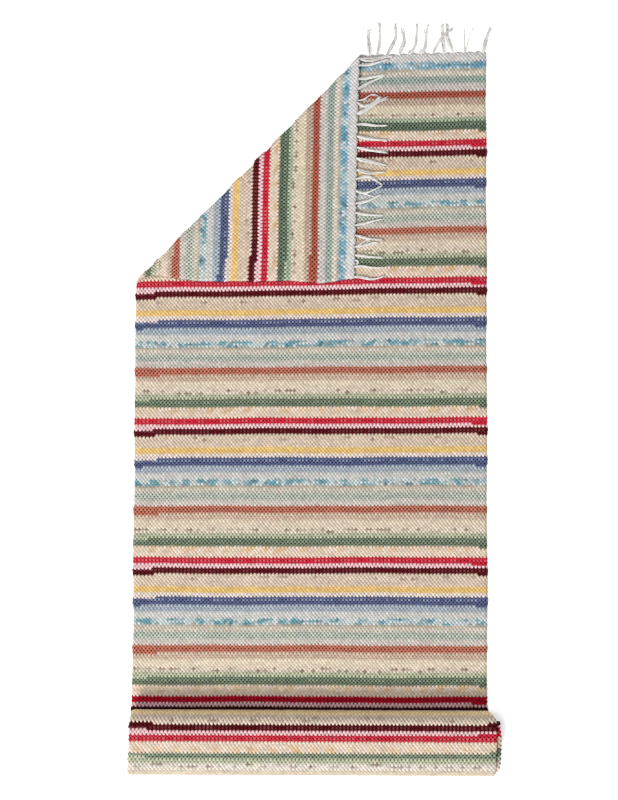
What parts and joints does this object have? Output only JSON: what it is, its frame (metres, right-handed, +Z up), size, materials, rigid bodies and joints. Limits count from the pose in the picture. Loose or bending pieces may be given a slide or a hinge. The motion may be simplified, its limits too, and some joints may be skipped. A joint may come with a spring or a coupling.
{
  "type": "rag rug",
  "caption": "Striped hand-woven rag rug runner lying on a floor, one corner of its fringed end folded over and its far end wound into a flat roll.",
  "frame": {"origin": "middle of the laid-out shape, on the floor it lies on", "axes": "+Y along the rug's length towards its fringed end, +X across its width, +Z up from the floor"},
  "size_m": [0.7186, 1.4948, 0.045],
  "materials": {
    "rag_weave": "matte striped cotton rag weave in many colours",
    "warp_fringe": "matte off-white twisted cotton warp ends"
  },
  "bodies": {
    "root": {"rug_cloth": "rag_weave", "fringe_flat": "warp_fringe", "fringe_folded": "warp_fringe"}
  },
  "joints": []
}
